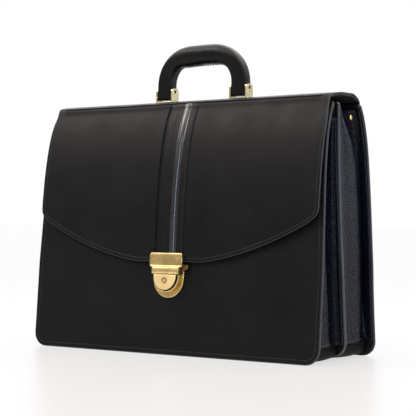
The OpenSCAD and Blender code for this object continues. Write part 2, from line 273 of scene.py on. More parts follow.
def leather(name, colour, roughness, flat=True, pore=1100.0, bump=0.06, pebble=None, specular=0.3):
    material, t, shader = new_material(name, colour, roughness, 0, specular)
    where = coordinates(t, flat)
    base = tinted(t, where, colour, LEATHER_WEAR, 16.0)
    pores = add(t, "TexVoronoi", {"Vector": where, "Scale": pore, "Randomness": 1.0},
                feature="DISTANCE_TO_EDGE")
    cell = remap(t, pores.outputs["Distance"], 0.0, 0.22, 0.0, 1.0)
    height = add(t, "Math", {0: cell, 1: cloud(t, where, pore * 1.7, 4.0, 0.65)}, operation="ADD")
    normal = bumped(t, height.outputs["Value"], 0.55, bump)
    if pebble:
        big = add(t, "TexVoronoi", {"Vector": where, "Scale": pebble, "Randomness": 0.9,
                                    "Smoothness": 0.35}, feature="SMOOTH_F1")
        dome = remap(t, big.outputs["Distance"], 0.05, 0.75, 1.0, 0.0)
        both = add(t, "Math", {0: dome, 1: cloud(t, where, pebble * 0.6, 3.0)}, operation="ADD")
        normal = bumped(t, both.outputs["Value"], 0.8, PEBBLE_DEPTH, Normal=normal)
    rub = spread(t, cloud(t, where, 38.0, 4.0), roughness - 0.05, roughness + 0.07)
    t.links.new(base, shader.inputs["Base Color"])
    t.links.new(rub, shader.inputs["Roughness"])
    t.links.new(normal, shader.inputs["Normal"])
    return material


def metal(name, colour, roughness, brush=(1.0, 1.0, 1.0), scale=900.0, bump=0.02, patina=0.22):
    """Metal that is brushed finely along one way, patchy, and brighter at its worn edges"""
    material, t, shader = new_material(name, colour, roughness, 1.0, 0.5)
    where = coordinates(t, False)
    stretched = add(t, "Mapping", {"Vector": where, "Scale": brush}).outputs["Vector"]
    lines = cloud(t, stretched, scale, 4.0, 0.6)
    edge = remap(t, add(t, "NewGeometry", {}).outputs["Pointiness"], 0.5, 0.62, 0.0, 0.55)
    rubbed = tuple(min(1, c * 1.25 + 0.05) for c in colour)
    bright = mixed(t, edge, tinted(t, where, colour, patina, 70.0), rubbed)
    rub = spread(t, lines, roughness - 0.06, roughness + 0.08)
    t.links.new(bright, shader.inputs["Base Color"])
    t.links.new(rub, shader.inputs["Roughness"])
    t.links.new(bumped(t, lines, 0.5, bump), shader.inputs["Normal"])
    return material


def suede(name, colour):
    material, t, shader = new_material(name, colour, 0.92, 0, 0.04)
    where = coordinates(t, True)
    shader.inputs["Sheen Weight"].default_value = 0.03
    nap = cloud(t, where, 1400.0, 5.0, 0.7)
    t.links.new(tinted(t, where, colour, 0.4, 22.0), shader.inputs["Base Color"])
    t.links.new(bumped(t, nap, 0.7, NAP_DEPTH), shader.inputs["Normal"])
    return material


BLACK = (0.0034, 0.0033, 0.0033)
smooth_leather = leather("smooth_leather", BLACK, 0.45, specular=0.13)
panel_leather = leather("panel_leather", (0.0038, 0.0037, 0.0037), 0.5, specular=0.12)
strip_leather = leather("strip_leather", (0.0035, 0.0034, 0.0035), 0.42, specular=0.14)
ridge_leather = leather("ridge_leather", (0.006, 0.0058, 0.006), 0.24, specular=0.75, bump=0.015)
handle_leather = leather("handle_leather", (0.0035, 0.0033, 0.0033), 0.27, flat=False, pore=1300,
                         specular=0.17)
# Pebbled gusset leather. Its base colour is tinted blue as painted bluish light falling on the sides.
grained_leather = leather("grained_leather", (0.0018, 0.0023, 0.0058), 0.19, pebble=430.0, specular=0.12)
bottom_leather = leather("bottom_leather", (0.0015, 0.0015, 0.0018), 0.55, pebble=430.0, specular=0.06)
# Edge paint on the cut edges. Its colour is made lighter and bluish as a painted sheen of the blue side
# light.
edge_paint_painted_sheen = leather("edge_paint_painted_sheen", (0.013, 0.015, 0.020), 0.38, flat=False, pore=700, bump=0.03,
                     specular=0.45)
thread = leather("thread", (0.017, 0.0165, 0.0165), 0.6, flat=False, pore=2400, bump=0.05, specular=0.35)
lining_suede = suede("lining_suede", (0.010, 0.0088, 0.008))
antique_brass = metal("antique_brass", (0.64, 0.45, 0.18), 0.33, brush=(0.08, 1, 1), scale=1600)
bar_brass = metal("bar_brass", (0.70, 0.50, 0.23), 0.30, brush=(0.06, 1, 1), scale=2200, bump=0.05)
matte_brass = metal("matte_brass", (0.92, 0.69, 0.34), 0.48, scale=2600, bump=0.05, patina=0.12)
polished_brass = metal("polished_brass", (0.84, 0.62, 0.28), 0.17, bump=0.008)
bracket_brass = metal("bracket_brass", (0.86, 0.68, 0.36), 0.20, bump=0.008)
bronze = metal("bronze", (0.20, 0.115, 0.05), 0.34)
# Dark brass: partly patina, and partly painted shade in the gaps between the lock's layers.
dark_brass_shade_and_patina = metal("dark_brass_shade_and_patina", (0.085, 0.045, 0.02), 0.42)
gunmetal = metal("gunmetal", (0.06, 0.055, 0.055), 0.35)
steel = metal("steel", (0.55, 0.55, 0.53), 0.36)


# Meshes
def put(name, data):
    o = bpy.data.objects.new(name, data)
    bpy.context.scene.collection.objects.link(o)
    return o


def make(name, points, faces, materials, picks=None, flats=None):
    mesh = bpy.data.meshes.new(name)
    mesh.from_pydata((np.asarray(points, float) * MM).tolist(), [], [list(map(int, f)) for f in faces])
    for m in materials:
        mesh.materials.append(m)
    if picks is not None:
        mesh.polygons.foreach_set("material_index", np.asarray(picks, np.int32))
    mesh.polygons.foreach_set("use_smooth", np.ones(len(mesh.polygons), bool))
    if flats is not None:
        layer = mesh.uv_layers.new(name="UVMap")
        corner = np.zeros(len(mesh.loops), np.int32)
        mesh.loops.foreach_get("vertex_index", corner)
        layer.data.foreach_set("uv", (np.asarray(flats, float) * MM)[corner].astype(np.float32).ravel())
    bm = bmesh.new()
    bm.from_mesh(mesh)
    bmesh.ops.recalc_face_normals(bm, faces=bm.faces[:])
    bm.to_mesh(mesh)
    bm.free()
    mesh.update()
    return put(name, mesh)


def unit(v):
    return v / max(np.linalg.norm(v), 1e-12)


def outline(corners, radii, inset, piece=5.0, turn=7):
    """A rounded outline run anticlockwise, moved inward. It has as many points whatever the inset."""
    c = np.array(corners, float)
    k = len(c)
    moved = []
    for i in range(k):
        u, v = unit(c[i] - c[i - 1]), unit(c[(i + 1) % k] - c[i])
        left_u, left_v = np.array([-u[1], u[0]]), np.array([-v[1], v[0]])
        m = unit(left_u + left_v)
        moved.append(c[i] + m * inset / (m @ left_v))
    arcs = []
    for i in range(k):
        a, p, b = moved[i - 1], moved[i], moved[(i + 1) % k]
        if radii[i] <= 0:
            arcs.append([p])
            continue
        r = max(radii[i] - inset, 0.3)
        u, v = unit(a - p), unit(b - p)
        half = math.acos(max(-1, min(1, u @ v))) / 2
        centre = p + unit(u + v) * r / math.sin(half)
        first = p + u * r / math.tan(half) - centre
        w = math.pi - 2 * half
        w = w if u[0] * v[1] - u[1] * v[0] < 0 else -w
        turned = [(math.cos(w * j / turn), math.sin(w * j / turn)) for j in range(turn + 1)]
        arcs.append([centre + np.array([first[0] * cos - first[1] * sin, first[0] * sin + first[1] * cos])
                     for cos, sin in turned])
    loop = []
    for i in range(k):
        loop += arcs[i]
        a, b = arcs[i][-1], arcs[(i + 1) % k][0]
        n = max(1, int(round(np.linalg.norm(c[(i + 1) % k] - c[i]) / piece)))
        loop += [a + (b - a) * j / n for j in range(1, n)]
    return np.array(loop)


def inside(loop, points):
    x, y = points[:, 0], points[:, 1]
    a, b = loop, np.roll(loop, -1, 0)
    hit = np.zeros(len(points), int)
    for (x0, y0), (x1, y1) in zip(a, b):
        cross = (y0 > y) != (y1 > y)
        with np.errstate(divide="ignore", invalid="ignore"):
            hit += cross & (x < (x1 - x0) * (y - y0) / (y1 - y0) + x0)
    return hit % 2 == 1


def filled(loop, across, along, clear=2.4):
    """Triangles that fill a loop, with grid points inside it. Returns the added points and the faces."""
    grid = np.array([(x, s) for s in along for x in across])
    grid = grid[inside(loop, grid)]
    kd = KDTree(len(loop))
    for i, p in enumerate(loop):
        kd.insert((p[0], p[1], 0), i)
    kd.balance()
    grid = np.array([g for g in grid if kd.find((g[0], g[1], 0))[2] > clear]).reshape(-1, 2)
    points = [Vector(p) for p in loop] + [Vector(g) for g in grid]
    got = delaunay_2d_cdt(points, [], [list(range(len(loop)))], 1, 1e-5)
    old = [o[0] if o else -1 for o in got[3]]
    faces = [[old[i] for i in f] for f in got[2]]
    return grid, [f for f in faces if min(f) >= 0]


def sheet_mesh(name, line, corners, radii, thick, materials, top=0.0, groove=None, across=8.0, rows=None,
               ripple=0.3, seed=1.0, press=None, piece=5.0):
    """A leather sheet along a side profile: rounded edges in edge paint whose colour carries a painted
    bluish sheen, two faces, and a pressed seam if asked
    """
    r = min(thick * 0.42, 1.1)
    turns = [math.pi / 2 * k / 4 for k in range(5)]
    outer = [(r * (1 - math.cos(a)), r * (1 - math.sin(a))) for a in turns]
    painted = len(outer)
    if groove:
        pressed = ((-1.5, 0), (-0.75, 0.08), (0, 0.3), (0.75, 0.08), (1.5, 0))
        outer += [(groove + away, sunk) for away, sunk in pressed]
    outer.append((max(groove + 4 if groove else 4, 5.5), 0))
    inner = [(d, thick - h) for d, h in outer[:painted]] + [(outer[-1][0], thick)]
    rings = outer[::-1] + inner
    loops = [outline(corners, radii, d, piece) for d, h in rings]
    n = len(loops[0])
    flat = np.concatenate(loops)
    depth = np.concatenate([np.full(n, h) for d, h in rings])
    low, high = flat.min(0), flat.max(0)
    xs = sorted(set(np.round(np.linspace(low[0], high[0], int((high[0] - low[0]) / across) + 1), 3)))
    ss = rows if rows is not None else np.linspace(low[1], high[1], int((high[1] - low[1]) / 7) + 1)
    faces, picks = [], []
    for ring in range(len(rings) - 1):
        edge = len(outer) - painted <= ring < len(outer) + painted - 1
        for i in range(n):
            j = (i + 1) % n
            faces.append((ring * n + i, ring * n + j, (ring + 1) * n + j, (ring + 1) * n + i))
            picks.append(1 if edge else (0 if ring < len(outer) else 2))
    for ring, h, pick in ((0, 0.0, 0), (len(rings) - 1, thick, 2)):
        grid, made = filled(loops[ring], xs, ss)
        start = len(flat)
        flat = np.concatenate([flat, grid])
        depth = np.concatenate([depth, np.full(len(grid), h)])
        faces += [[ring * n + i if i < n else start + i - n for i in f] for f in made]
        picks += [pick] * len(made)
    lift = np.array([ripple * (wave(x, s, 70, seed) + 0.35 * wave(x, s, 26, seed + 5)) for x, s in flat])
    if press:
        lift += np.array([press(x, s) if h < thick / 2 else 0.0 for (x, s), h in zip(flat, depth)])
    y, z = line.at(flat[:, 1], depth + top - lift)
    return make(name, np.c_[flat[:, 0], y, z], faces, materials, picks, flat)


def grid_mesh(name, rows, materials, flats=None, picks=None, close_rows=False, caps=False):
    """A mesh through rows of points, all of one length"""
    p = np.array(rows, float)
    a, b = p.shape[:2]
    faces, chosen = [], []
    for i in range(a - 1):
        for j in range(b if close_rows else b - 1):
            k = (j + 1) % b
            faces.append((i * b + j, i * b + k, (i + 1) * b + k, (i + 1) * b + j))
            chosen.append(0 if picks is None else picks[j])
    if caps:
        faces += [tuple(range(b))[::-1], tuple((a - 1) * b + j for j in range(b))]
        chosen += [0, 0]
    return make(name, p.reshape(-1, 3), faces, materials, chosen,
                None if flats is None else np.array(flats, float).reshape(-1, 2))


def bend(o, a, b, share):
    """Bakes the piece's transform into its mesh and works out a share from each point's place. The share is
    not applied, and the two bodies are not used.
    """
    co = np.zeros(len(o.data.vertices) * 3, np.float32)
    o.data.vertices.foreach_get("co", co)
    co = co.reshape(-1, 3) / MM
    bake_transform(o)
    w = np.clip(share(co), 0, 1).astype(np.float32)
    return o


def lid_share(co):
    s = lid_line.near(co[:, 1].astype(float), co[:, 2].astype(float))
    return smooth((s - (fold_s - 4.5)) / 10.5)


def seam_share(co):
    return smooth((co[:, 2] - 274.5) / 9.5 * 0.5 + (33.5 - co[:, 1]) / 11 * 0.5)


def rear_share(co):
    a = divider_line.y_of_z(co[:, 2], DIVIDER)
    b = back_line.y_of_z(co[:, 2], PANEL)
    return (co[:, 1] - a) / (b - a)


def front_share(co):
    a = divider_line.y_of_z(co[:, 2])
    b = front_line.y_of_z(co[:, 2], PANEL)
    return (a - co[:, 1]) / (a - b)


# Stitches
def walk(points, pitch, closed=False):
    """Places at even spacing along a flat line, with their directions"""
    p = np.array(points, float)
    if closed:
        p = np.r_[p, p[:1]]
    run = run_along(p)
    count = int(run[-1] / pitch)
    s = (np.arange(count) + 0.5) * run[-1] / count
    at = np.c_[np.interp(s, run, p[:, 0]), np.interp(s, run, p[:, 1])]
    ahead = np.c_[np.interp(s + 0.4, run, p[:, 0]), np.interp(s + 0.4, run, p[:, 1])]
    behind = np.c_[np.interp(s - 0.4, run, p[:, 0]), np.interp(s - 0.4, run, p[:, 1])]
    d = ahead - behind
    return at, d / np.linalg.norm(d, axis=1)[:, None]


THREAD_FLAT = 1.15


def stitch_mesh(name, places, length=2.7, radius=0.36):
    """Short threads that dip at both ends. places holds a point, a direction and an outward normal each."""
    rings = [(-0.5, 0.25, -0.7), (-0.4, 0.85, -0.25), (-0.16, 1, 0.1), (0.16, 1, 0.1), (0.4, 0.85, -0.25),
             (0.5, 0.25, -0.7)]
    points, faces = [], []
    for p, d, out in places:
        p, d, out = np.array(p, float), unit(np.array(d, float)), unit(np.array(out, float))
        d = unit(d + np.cross(out, d) * rng.uniform(-0.06, 0.06))
        side = np.cross(d, out)
        base = len(points)
        for t, w, h in rings:
            for k in range(6):
                a = math.pi * k / 3
                points.append(p + d * t * length + out * (h * radius + math.cos(a) * radius * w)
                              + side * math.sin(a) * radius * w * THREAD_FLAT)
        for i in range(5):
            for k in range(6):
                m = (k + 1) % 6
                at, past = base + i * 6, base + i * 6 + 6
                faces.append((at + k, at + m, past + m, past + k))
        faces.append([base + k for k in range(6)])
        faces.append([base + 30 + k for k in range(6)])
    return make(name, points, faces, [thread])


def on_sheet(line, flat, pitch=3.6, depth=0.12, closed=False):
    """Stitch places along a flat line on a sheet's outer face"""
    at, d = walk(flat, pitch, closed)
    y, z = line.at(at[:, 1], depth)
    y2, z2 = line.at(at[:, 1] + d[:, 1] * 0.5, depth)
    ny = np.interp(at[:, 1], line.s, line.n[:, 0])
    nz = np.interp(at[:, 1], line.s, line.n[:, 1])
    return [((x, a, b), (dx * 0.5, a2 - a, b2 - b), (0, c, e))
            for x, a, b, dx, a2, b2, c, e in zip(at[:, 0], y, z, d[:, 0], y2, z2, ny, nz)]


# Lid: one leather from the rear seam over the roof and down the flap
def lid_half(s):
    """Half the lid's width at a distance along it"""
    near_fold = math.exp(-((s - fold_s - 4) / 16.0) ** 2)
    flap_half = flap_high.x
    wide = roof_high.x + (flap_half - roof_high.x) * smooth((s - fold_s + 10) / 30)
    return wide - 2.6 * near_fold


def flap_edge(x):
    return flap_low.z + 54 * (x / flap_high.x) ** 2


corner_z = flap_low.z + 56
side_s = [8, 20, fold_s - 24] + steps(fold_s - 16, fold_s + 32, 5) + [fold_s + 45, fold_s + 70]
bottom = [(x, lid_s(flap_edge(x))) for x in range(180, -181, -12)]
right = [(lid_half(s), s) for s in side_s]
lid_corners = ([(-lid_half(0), 0), (lid_half(0), 0)] + right + [(flap_high.x, lid_s(corner_z))] + bottom
               + [(-flap_high.x, lid_s(corner_z))] + [(-x, s) for x, s in right[::-1]])
lid_radii = ([3, 3] + [0] * len(right) + [15] + [0] * len(bottom) + [15] + [0] * len(right))
crease_s = fold_s - 0.9
EDGE = 4.4


def crease(x, s):
    """The line pressed along the top of the flap, with a soft lip above it"""
    ends = smooth((x + 187) / 5) * smooth((188.5 - x) / 4)
    d = s - crease_s
    groove = -1.5 * math.exp(-(d / 0.62) ** 2)
    lip = 0.15 * math.exp(-((d + 2.0) / 1.3) ** 2)
    under = 0.15 * math.exp(-((d - 2.2) / 1.2) ** 2)
    return ends * (groove + lip + under)


lid_rows = (steps(6, fold_s - 10, 4) + steps(fold_s - 9, crease_s - 2.4, 1.1)
            + steps(crease_s - 2, crease_s + 2, 0.4) + steps(crease_s + 2.6, fold_s + 10, 1.3)
            + steps(fold_s + 13, lid_line.length, 6))
lid = sheet_mesh("lid", lid_line, lid_corners, lid_radii, 2.1, [smooth_leather, edge_paint_painted_sheen, smooth_leather],
                 groove=EDGE, rows=lid_rows, across=7.0, ripple=0.32, press=crease, piece=4.5)
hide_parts("roof_leather", "roof_board", "flap_leather")
bend(lid, "roof", "flap", lid_share)



def lining_corner(x, s):
    """A corner of the lid, drawn in a little for its lining"""
    moved = 1.2 if s < 4 else (-1.4 if s > lid_s(corner_z) - 1 else 0)
    return x * (1 - 1.2 / 195), s + moved


lining_corners = [lining_corner(x, s) for x, s in lid_corners]
lid_lining = sheet_mesh("lid_lining", lid_line, lining_corners, lid_radii, 1.4,
                        [lining_suede, edge_paint_painted_sheen, lining_suede], top=2.12, rows=lid_rows[::2],
                        ripple=0.32, across=9.0)
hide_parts("roof_lining", "flap_lining")
bend(lid_lining, "roof", "flap", lid_share)

seam = outline(lid_corners, lid_radii, EDGE, 4.5)
seam = np.array([p for p in seam if p[1] > fold_s - 2])
first = int(np.argmax(np.hypot(*(np.roll(seam, -1, 0) - seam).T))) + 1
seam = np.roll(seam, -first, 0)
lid_stitches = stitch_mesh("lid_stitches", on_sheet(lid_line, seam, depth=0.22))
bend(lid_stitches, "roof", "flap", lid_share)


# Strip down the middle of the flap: raised edges, a low step and a glossy ridge
RIDGE_X = 6.6


def strip_height(x, wide):
    """Height above the flap. The ridge stands a little right of the strip's middle."""
    marks = [(-21.2, -0.4), (-20.9, 0.8), (-20.4, 1.5), (-19.8, 1.65), (-19.2, 1.4), (-18.9, 0.2),
             (-18.5, -0.35), (-17.6, -0.3), (-17.0, 0.3),
             (-14, 0.5), (-6.4, 0.75), (-5.9, 0.95), (-5.2, 1.3), (-3.0, 1.35),
             (2.5, 1.2), (10.6, 0.95), (17.8, 0.9), (18.5, 0.6), (19.1, 0.9), (20.0, 1.0), (20.6, 0.6),
             (20.9, -0.4)]
    base = float(np.interp(x, [m[0] for m in marks], [m[1] for m in marks]))
    r = abs(x - RIDGE_X) / wide
    return base + (2.0 * math.sqrt(max(0.0, 1 - r * r)) ** 1.1 if r < 1 else 0.0)


left_xs = [-21.2, -20.9, -20.6, -20.4, -20.1, -19.8, -19.5, -19.2, -19.0, -18.9, -18.7, -18.5, -18.1,
           -17.6, -17.3, -17.0, -15.5, -14, -11, -8, -6.9, -6.4, -6.1, -5.9, -5.5, -5.2, -4.2, -3, -1, 0.8]
right_xs = [12.6, 14.5, 16.5, 17.4, 17.8, 18.1, 18.5, 18.8, 19.1, 19.6, 20.0, 20.3, 20.6, 20.75, 20.9]
strip_xs = sorted(set(left_xs + [RIDGE_X + k * 0.45 for k in range(-11, 12)] + right_xs))
strip_rows, strip_flat = [], []
s_first, s_last = crease_s + 0.7, lid_s(strip_low.z - 2)
for s in steps(s_first, s_first + 12, 1.5)[:-1] + steps(s_first + 12, s_last, 5):
    wide = 2.1 + 2.4 * (1 - smooth((s - s_first) / 60))
    tail = smooth((s - s_first + 0.6) / 3)
    row, flat = [], []
    for x in strip_xs:
        h = strip_height(x, wide)
        h = -0.5 + (h + 0.5) * (0.35 + 0.65 * tail) + 0.12 * wave(x, s, 14, 3.1)
        y, z = lid_line.at(s, -h)
        row.append((x, float(y), float(z)))
        flat.append((x, s))
    strip_rows.append(row)
    strip_flat.append(flat)
strip = grid_mesh("strip", strip_rows, [strip_leather, ridge_leather], strip_flat,
                  [1 if abs(x - RIDGE_X) < 4.6 else 0 for x in strip_xs[:-1]])
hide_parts("flap_strip", "flap_ridge")
bend(strip, "roof", "flap", lid_share)
places = on_sheet(lid_line, [(18.5, s) for s in steps(s_first + 3, s_last, 6)], 3.4, -0.75)
strip_stitches = stitch_mesh("strip_stitches", places, 2.5, 0.3)
bend(strip_stitches, "roof", "flap", lid_share)


# Panels
def panel_corners(line, z_top, half_foot, half_head, inset=0.0):
    """A panel's outline. The line may run up or down."""
    marks = [(half_foot, 0 + inset), (half_foot, 100), (half_head, z_top - inset)]
    down = line.p[0, 1] > line.p[-1, 1]
    side = [(x - inset, float(line.of_z(z)) if z > 1 else (line.length if down else 0.0)) for x, z in marks]
    side[0] = (side[0][0], side[0][1] + (-inset if down else inset))
    ring = side + [(-x, s) for x, s in side[::-1]]
    return ring if not down else ring[::-1]


HEAD = 194.6
HEAD_R = 4.0
SHELL = 3.1


def panel(name, line, z_top, half_head, thick, top, materials, inset, groove, seed, ripple, foot=17.0):
    """A panel with rounded corners at its foot and its head, with its corners and their radii"""
    corners = panel_corners(line, z_top, HALF, half_head, inset)
    radii = [foot, 0, HEAD_R, HEAD_R, 0, foot]
    return sheet_mesh(name, line, corners, radii, thick, materials, top=top, groove=groove, ripple=ripple,
                      seed=seed), corners, radii


def stitched_panel(body, line, z_top, half_head, thick, groove, seed, nodes, ripple=0.35):
    """A leather panel with a stitched edge, on the body that it is named after"""
    o, corners, radii = panel(f"{body}_panel", line, z_top, half_head, thick, 0.0,
                              [panel_leather, edge_paint_painted_sheen, panel_leather], 0.0, groove, seed, ripple)
    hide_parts(*nodes)
    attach(o, body)
    sewn = on_sheet(line, outline(corners, radii, groove), depth=0.2, closed=True)
    stitches = stitch_mesh(f"{body}_stitches", sewn)
    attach(stitches, body)


def panel_lining(body, line, z_top, seed, ripple=0.35):
    o = panel(f"{body}_lining_cloth", line, z_top, HEAD, 0.9, SHELL,
              [lining_suede, edge_paint_painted_sheen, lining_suede], 0.7, None, seed, ripple)[0]
    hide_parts(f"{body}_lining")
    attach(o, body)


front_top_z = front_line.p[0, 1] - 0.2
stitched_panel("front", front_line, front_top_z, HEAD, SHELL, 5.2, 7.0, ("front_leather", "front_board"))
panel_lining("front", front_line, front_top_z, 7.0)
back_top_z = float(back_line.p[-1, 1]) - 0.2
stitched_panel("back", back_line, back_top_z, HEAD, SHELL, 5.2, 13.0, ("back_leather", "back_board"), 0.4)
panel_lining("back", back_line, back_top_z, 13.0, 0.4)
stitched_panel("divider", divider_line, float(divider_line.p[0, 1]) - 0.2, HEAD - 0.5, DIVIDER, 5.0, 19.0,
               ("divider_front_face", "divider_core", "divider_rear_face"))

# Leather band that joins the back panel to the roof
corner_y, band_top_z = lid_line.at(0, -1.1)
band_line = Line([back_line.at(back_line.length - d, -0.15) for d in (13, 9, 5, 2)]
                 + [(corner_y + 1.0, band_top_z + 0.6)]
                 + [lid_line.at(d, -0.15) for d in (4, 7, 10, 13)], 1.2)
band = sheet_mesh("rear_band", band_line, [(-HEAD + 2, 0), (HEAD - 2, 0), (HEAD - 2, band_line.length),
                                           (2 - HEAD, band_line.length)], [2, 2, 2, 2], 0.9,
                  [smooth_leather, edge_paint_painted_sheen, smooth_leather], top=-0.9, across=9,
                  rows=steps(1, band_line.length, 1.4), ripple=0.15, seed=23.0)
bend(band, "back", "roof", seam_share)
places = []
for s in (2.6, band_line.length - 2.6):
    places += on_sheet(band_line, [(x, s) for x in steps(-190, 190, 8)], 3.6, -0.75)
band_stitches = stitch_mesh("rear_band_stitches", places)
bend(band_stitches, "back", "roof", seam_share)


# Side gussets
def through(marks, count):
    """Points along a smooth curve through marks"""
    p = np.array(marks, float)
    p = np.r_[[2 * p[0] - p[1]], p, [2 * p[-1] - p[-2]]]
    out = []
    for i in range(1, len(p) - 2):
        a, b, c, d = p[i - 1:i + 3]
        for k in range(8):
            t = k / 8
            out.append(0.5 * (2 * b + (c - a) * t + (2 * a - 5 * b + 4 * c - d) * t * t
                              + (3 * b - a - 3 * c + d) * t ** 3))
    out.append(p[-2])
    q = np.array(out)
    run = run_along(q)
    s = np.linspace(0, run[-1], count)
    return np.c_[np.interp(s, run, q[:, 0]), np.interp(s, run, q[:, 1])]


def edge_x(z):
    return HALF - 2.2 - (HALF - HEAD) * smooth((z - 100) / 180)


SEAM_Z = 20.5


def side_x(z):
    return 193.0 - 2.6 * smooth((z - 110) / 165)


def rear_section(z):
    a = float(divider_line.y_of_z(z, DIVIDER))
    b = float(back_line.y_of_z(z, PANEL))
    share = float(np.interp(z, [20, 40, 64, 108, 147, 184, 211, 238, 254, 266, 276],
                            [0.84, 0.9, 0.94, 0.95, 0.92, 0.90, 0.87, 0.72, 0.52, 0.28, 0.2]))
    c = a + share * (b - a)
    deep = float(np.interp(z, [20, 60, 200, 240, 262, 276], [5, 7, 8, 9, 10, 11]))
    edge = edge_x(z)
    x = side_x(z)
    wob = 0.5 * wave(z, 0, 40, 31)
    return [(edge, a + 0.5), (edge - 3.0, a + 0.8), (x + 0.2, a + 2.6), (x - 0.3, a + 0.26 * (c - a)),
            (x + 0.5 + wob, a + 0.52 * (c - a)), (x + 0.1 + wob, a + 0.72 * (c - a)),
            (x - 1.9 + 0.5 * wob, a + 0.88 * (c - a)), (x - 4.6, c), (x - deep + 1.0, c + 0.25 * (b - c)),
            (x - deep, c + 0.52 * (b - c)), (x - deep + 2.0, c + 0.8 * (b - c)), (x - 2.6, b - 1.2),
            (edge - 2.4, b - 0.75), (edge, b - 0.6)]


def front_section(z):
    a = float(front_line.y_of_z(z, PANEL))
    b = float(divider_line.y_of_z(z))
    gap = b - a
    flat_w = float(np.interp(z, [20, 30, 60, 100, 140, 180, 270], [27, 25, 20, 12, 5, 1.5, 0.5]))
    ridge = b - float(np.interp(z, [20, 50, 240, 270], [5.5, 5, 4.0, 3.2]))
    edge = edge_x(z)
    deep = 13 + 15 * (1 - gap / 50)
    start = a + 3 + flat_w
    mid = start + 0.5 * (ridge - start)
    wob = 0.6 * wave(z, 4, 35, 37)
    x = side_x(z)
    return [(edge, a + 0.5), (edge - 3, a + 0.8), (x + 0.3, a + 2.4),
            (x + 0.4 + wob, a + 2.6 + 0.4 * flat_w), (x + 0.2 + wob, a + 2.8 + 0.8 * flat_w),
            (x - 1.5, start + 0.6),
            (x - 0.5 * deep, start + 0.3 * (ridge - start)), (x - deep, mid),
            (x - 0.55 * deep, start + 0.72 * (ridge - start)),
            (x - 1.4, ridge - 1.4), (x + 0.4, ridge), (x - 0.7, ridge + 1.3), (x - 0.2, b - 1.6),
            (edge - 2.4, b - 0.7), (edge, b - 0.6)]


def thicken(o, thick):
    solid = o.modifiers.new("thickness", "SOLIDIFY")
    solid.thickness = thick * MM
    solid.offset = 0
    return solid


def gusset(name, section, side, top_z, share, bodies, node, count):
    """A folded side wall of a compartment, made from its level sections"""
    rows, flats = [], []
    zs = steps(SEAM_Z - 2.5, top_z, 3.5)
    for z in zs:
        sec = through(section(z), count)
        run = run_along(sec)
        rows.append([(side * x, y, z + 0.25 * wave(y, z, 12, 41)) for x, y in sec])
        flats.append([(r, z) for r in run])
    o = grid_mesh(name, rows, [grained_leather, edge_paint_painted_sheen], flats)
    solid = thicken(o, 1.1)
    solid.use_even_offset = True
    solid.material_offset_rim = 1
    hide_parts(node)
    bend(o, *bodies, share)


for side, word in ((-1, "left"), (1, "right")):
    gusset(f"rear_gusset_{word}_leather", rear_section, side, 274, rear_share, ("divider", "back"),
           f"rear_gusset_{word}", 40)
    gusset(f"front_gusset_{word}_leather", front_section, side, 262, front_share, ("divider", "front"),
           f"front_gusset_{word}", 46)


def floor_piece(name, near, far, share, bodies, node):
    """The bottom of a compartment, its ends turned up inside the side gussets"""
    profile = [(-190.2, SEAM_Z + 1.5), (-190.4, 15), (-189, 8.5), (-184.5, 4.6), (-176, 3.2)]
    level = [(x, 3.0) for x in range(-150, 151, 30)]
    profile = through(profile + level + [(-x, z) for x, z in profile[::-1]], 90)
    rows, flats = [], []
    for k in range(15):
        t = k / 14
        row = []
        for x, z in profile:
            start, end = near(max(z, 1.0)), far(max(z, 1.0))
            y = start + 0.4 + t * (end - start - 0.8)
            sag = 1.2 * math.sin(math.pi * t) * (1 if abs(x) < 183 else 0.3) + 0.4 * wave(x, t * 40, 45, 51)
            turned = 2.2 * (1 - math.sin(math.pi * t)) ** 3
            row.append((x, y, max(1.2, z - sag * 0.8 - (turned if abs(x) < 176 else 0))))
        rows.append(row)
        flats.append([(x, k * 4.0) for x in np.linspace(0, 410, len(profile))])
    o = grid_mesh(name, rows, [bottom_leather, edge_paint_painted_sheen], flats)
    thicken(o, 1.2)
    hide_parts(node)
    bend(o, *bodies, share)


floor_piece("rear_bottom", lambda z: divider_line.y_of_z(z, DIVIDER), lambda z: back_line.y_of_z(z, PANEL),
            rear_share, ("divider", "back"), "rear_gusset_bottom")
floor_piece("front_bottom", lambda z: front_line.y_of_z(z, PANEL), divider_line.y_of_z,
            front_share, ("divider", "front"), "front_gusset_bottom")


def on_gusset(section, side, z, shares):
    sec = through(section(z), 60)
    out = []
    run = run_along(sec)
    for q in shares:
        s = q * run[-1]
        x, y = np.interp(s, run, sec[:, 0]), np.interp(s, run, sec[:, 1])
        x2, y2 = np.interp(s + 1, run, sec[:, 0]), np.interp(s + 1, run, sec[:, 1])
        d = np.array([side * (x2 - x), y2 - y, 0])
        n = unit(np.array([d[1] * side, -d[0] * side, 0]))
        out.append((np.array([side * x, y, z]) + n * 0.62, d, n))
    return out


for word, section, share, bodies in (("rear", rear_section, rear_share, ("divider", "back")),
                                     ("front", front_section, front_share, ("divider", "front"))):
    places = []
    for side in (-1, 1):
        places += on_gusset(section, side, SEAM_Z, np.linspace(0.10, 0.9, 19))
    o = stitch_mesh(f"{word}_gusset_stitches", places, 2.6, 0.34)
    bend(o, *bodies, share)

